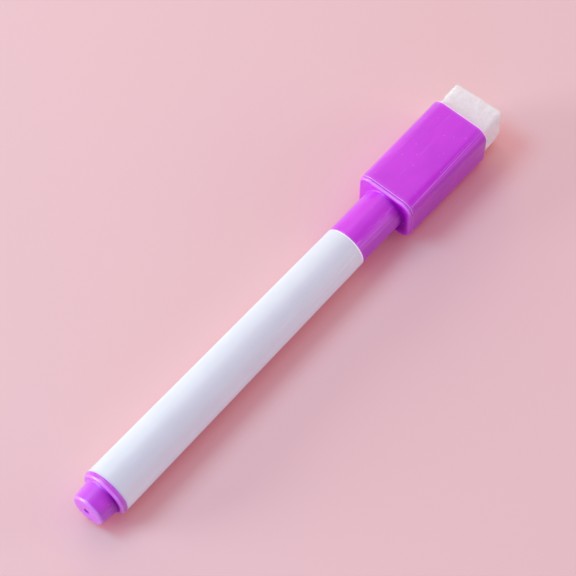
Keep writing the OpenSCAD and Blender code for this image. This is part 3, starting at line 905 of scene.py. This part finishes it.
def add_fibre(bm, rng, polygon):
    """One curled three-sided strand that springs from a polygon."""
    segments = 4
    base = polygon.center + Vector(rng.normal(0, 0.05, 3)) * MM
    normal = Vector(polygon.normal)
    tangent = normal.orthogonal().normalized()
    bearing = rng.uniform(0, 2 * math.pi)
    heading = tangent * math.cos(bearing) + normal.cross(tangent) * math.sin(bearing)
    # most lie flat, a few stand up
    lift = rng.uniform(0.02, 0.45) if rng.random() > 0.15 else rng.uniform(0.5, 1.1)
    length = rng.uniform(0.35, 1.0) * MM
    curl = rng.uniform(-1.6, 1.6)
    radius = rng.uniform(0.009, 0.016) * MM
    points = [base - normal * 0.03 * MM]
    for k in range(segments):
        turn = curl * k / segments
        step = heading * math.cos(turn) + normal.cross(heading) * math.sin(turn)
        rise = normal * lift * (1 - 1.6 * k / segments)
        points.append(points[-1] + (step + rise).normalized() * (length / segments))
    previous = None
    for k, centre in enumerate(points):
        along = (points[min(k + 1, segments)] - points[max(k - 1, 0)]).normalized()
        side = along.orthogonal().normalized()
        other = along.cross(side)
        size = radius * (1.0 if k < segments else 0.4)
        angles = [math.tau / 3 * j for j in range(3)]
        ring = [bm.verts.new(centre + (side * math.cos(a) + other * math.sin(a)) * size)
                for a in angles]
        if previous:
            for j in range(3):
                i = (j + 1) % 3
                bm.faces.new((previous[j], previous[i], ring[i], ring[j]))
        else:
            bm.faces.new(ring[::-1])
        previous = ring
    bm.faces.new(previous)


def build_loose_fibres(felt):
    """Strands scattered over the exposed felt."""
    rng = np.random.default_rng(5)
    polygons = [p for p in felt.data.polygons if p.center.x > X(RIM + 0.1)]
    areas = np.array([p.area for p in polygons])
    bm = bmesh.new()
    for i in rng.choice(len(polygons), size=4600, p=areas / areas.sum()):
        add_fibre(bm, rng, polygons[i])
    finish_mesh(bm, "felt_loose_fibres", "felt", "cap", sharp=180)


# ---------------------------------------------------------------- floor, camera, light
def build_floor():
    """The pen lies on the flange's lower edge and the block's lower edge at the plate."""
    floor_material()
    half_size, gap = 1.5, 0.01
    tail_station, tail_z = -0.5, -FLANGE_RADIUS
    plate_station, plate_z = PLATE + 0.45, -BLOCK_HEIGHT / 2
    slope = (plate_z - tail_z) / (plate_station - tail_station)
    bm = bmesh.new()
    corners = []
    for side_x, side_y in ((-1, -1), (1, -1), (1, 1), (-1, 1)):
        x, y = side_x * half_size, side_y * half_size
        z = (tail_z + slope * ((x - TAIL_X) / MM - tail_station) - gap) * MM
        corners.append(bm.verts.new((x, y, z)))
    bm.faces.new(corners)
    mesh = bpy.data.meshes.new("floor")
    bm.to_mesh(mesh)
    bm.free()
    mesh.materials.append(MATERIALS["floor_paper"])
    link("floor", mesh)


def add_camera():
    right = Vector((0.64915452, -0.76064131, 0.00481625)).normalized()
    up = Vector((0.66171403, 0.56782701, 0.48959884)).normalized()
    back = Vector((-0.3751439, -0.31463832, 0.8719345)).normalized()
    eye = Vector((-110.116354, -137.253257, 387.189898)) * MM   # from the barrel's tail
    data = bpy.data.cameras.new("camera")
    data.lens = 137.5
    data.sensor_width = 36.0
    data.sensor_fit = "HORIZONTAL"
    data.clip_start, data.clip_end = 0.01, 10
    data.shift_x, data.shift_y = -0.0012, 0.0012
    camera = link("camera", data)
    pose = Matrix((right, up, back)).transposed().to_4x4()
    pose.translation = eye + Vector((TAIL_X, 0, 0))
    camera.matrix_world = pose
    bpy.context.scene.camera = camera


# name, azimuth from +X and elevation in degrees, colour carrying the strength
SOFTBOXES = (
    ("key", 135, 12, (0.412, 0.487, 0.495)),            # low, beyond the tail on the +Y side
    ("sky", 120, 54, (0.081, 0.270, 0.325)),            # cool and high
    ("far", 45, 12, (0.095, 0.130, 0.050)),             # low, from the felt's +Y side
    ("far_high", 60, 54, (0.091, 0.060, 0.070)),
    ("felt_side", 0, 54, (0.044, 0.024, 0.039)),
    ("fill_front", 315, 12, (0.098, 0.147, 0.135)),     # low fill on the -Y side
    ("fill_near", 225, 12, (0.004, 0.077, 0.155)),
)


def add_softbox(name, azimuth, elevation, colour):
    """A round diffuser aimed at the origin."""
    diameter, distance, watts = 0.42, 0.9, 10.0         # watts at full strength
    strength = max(colour)
    data = bpy.data.lights.new(name, "AREA")
    data.shape = "DISK"
    data.size = diameter
    data.energy = watts * strength
    data.color = [channel / strength for channel in colour]
    a, e = math.radians(azimuth), math.radians(elevation)
    direction = Vector((math.cos(e) * math.cos(a), math.cos(e) * math.sin(a), math.sin(e)))
    light = link(name, data)
    light.location = direction * distance
    light.rotation_mode = "QUATERNION"
    light.rotation_quaternion = (-direction).to_track_quat("-Z", "Y")


def set_world():
    """Pink room light."""
    world = bpy.data.worlds.new("world")
    bpy.context.scene.world = world
    world.use_nodes = True
    background = world.node_tree.nodes["Background"]
    background.inputs["Color"].default_value = (1.0, 0.678, 0.719, 1)
    background.inputs["Strength"].default_value = 0.494
    view = bpy.context.scene.view_settings
    view.view_transform = "Standard"
    view.look = "None"
    view.exposure = 0.0
    view.gamma = 1.0


build_barrel()
build_tail_plug()
build_nib_holder()
build_nib()
build_inner_seal()
build_reservoir_rod()
build_sleeve()
build_housing()
build_loose_fibres(build_felt())

# frame pieces kept in their own shape
for node_name, material_name in (("reservoir_wrap", "film"), ("magnet", "magnet_plating")):
    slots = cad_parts[node_name].data.materials
    slots.clear()
    slots.append(MATERIALS[material_name])

build_floor()
add_camera()
for softbox in SOFTBOXES:
    add_softbox(*softbox)
set_world()
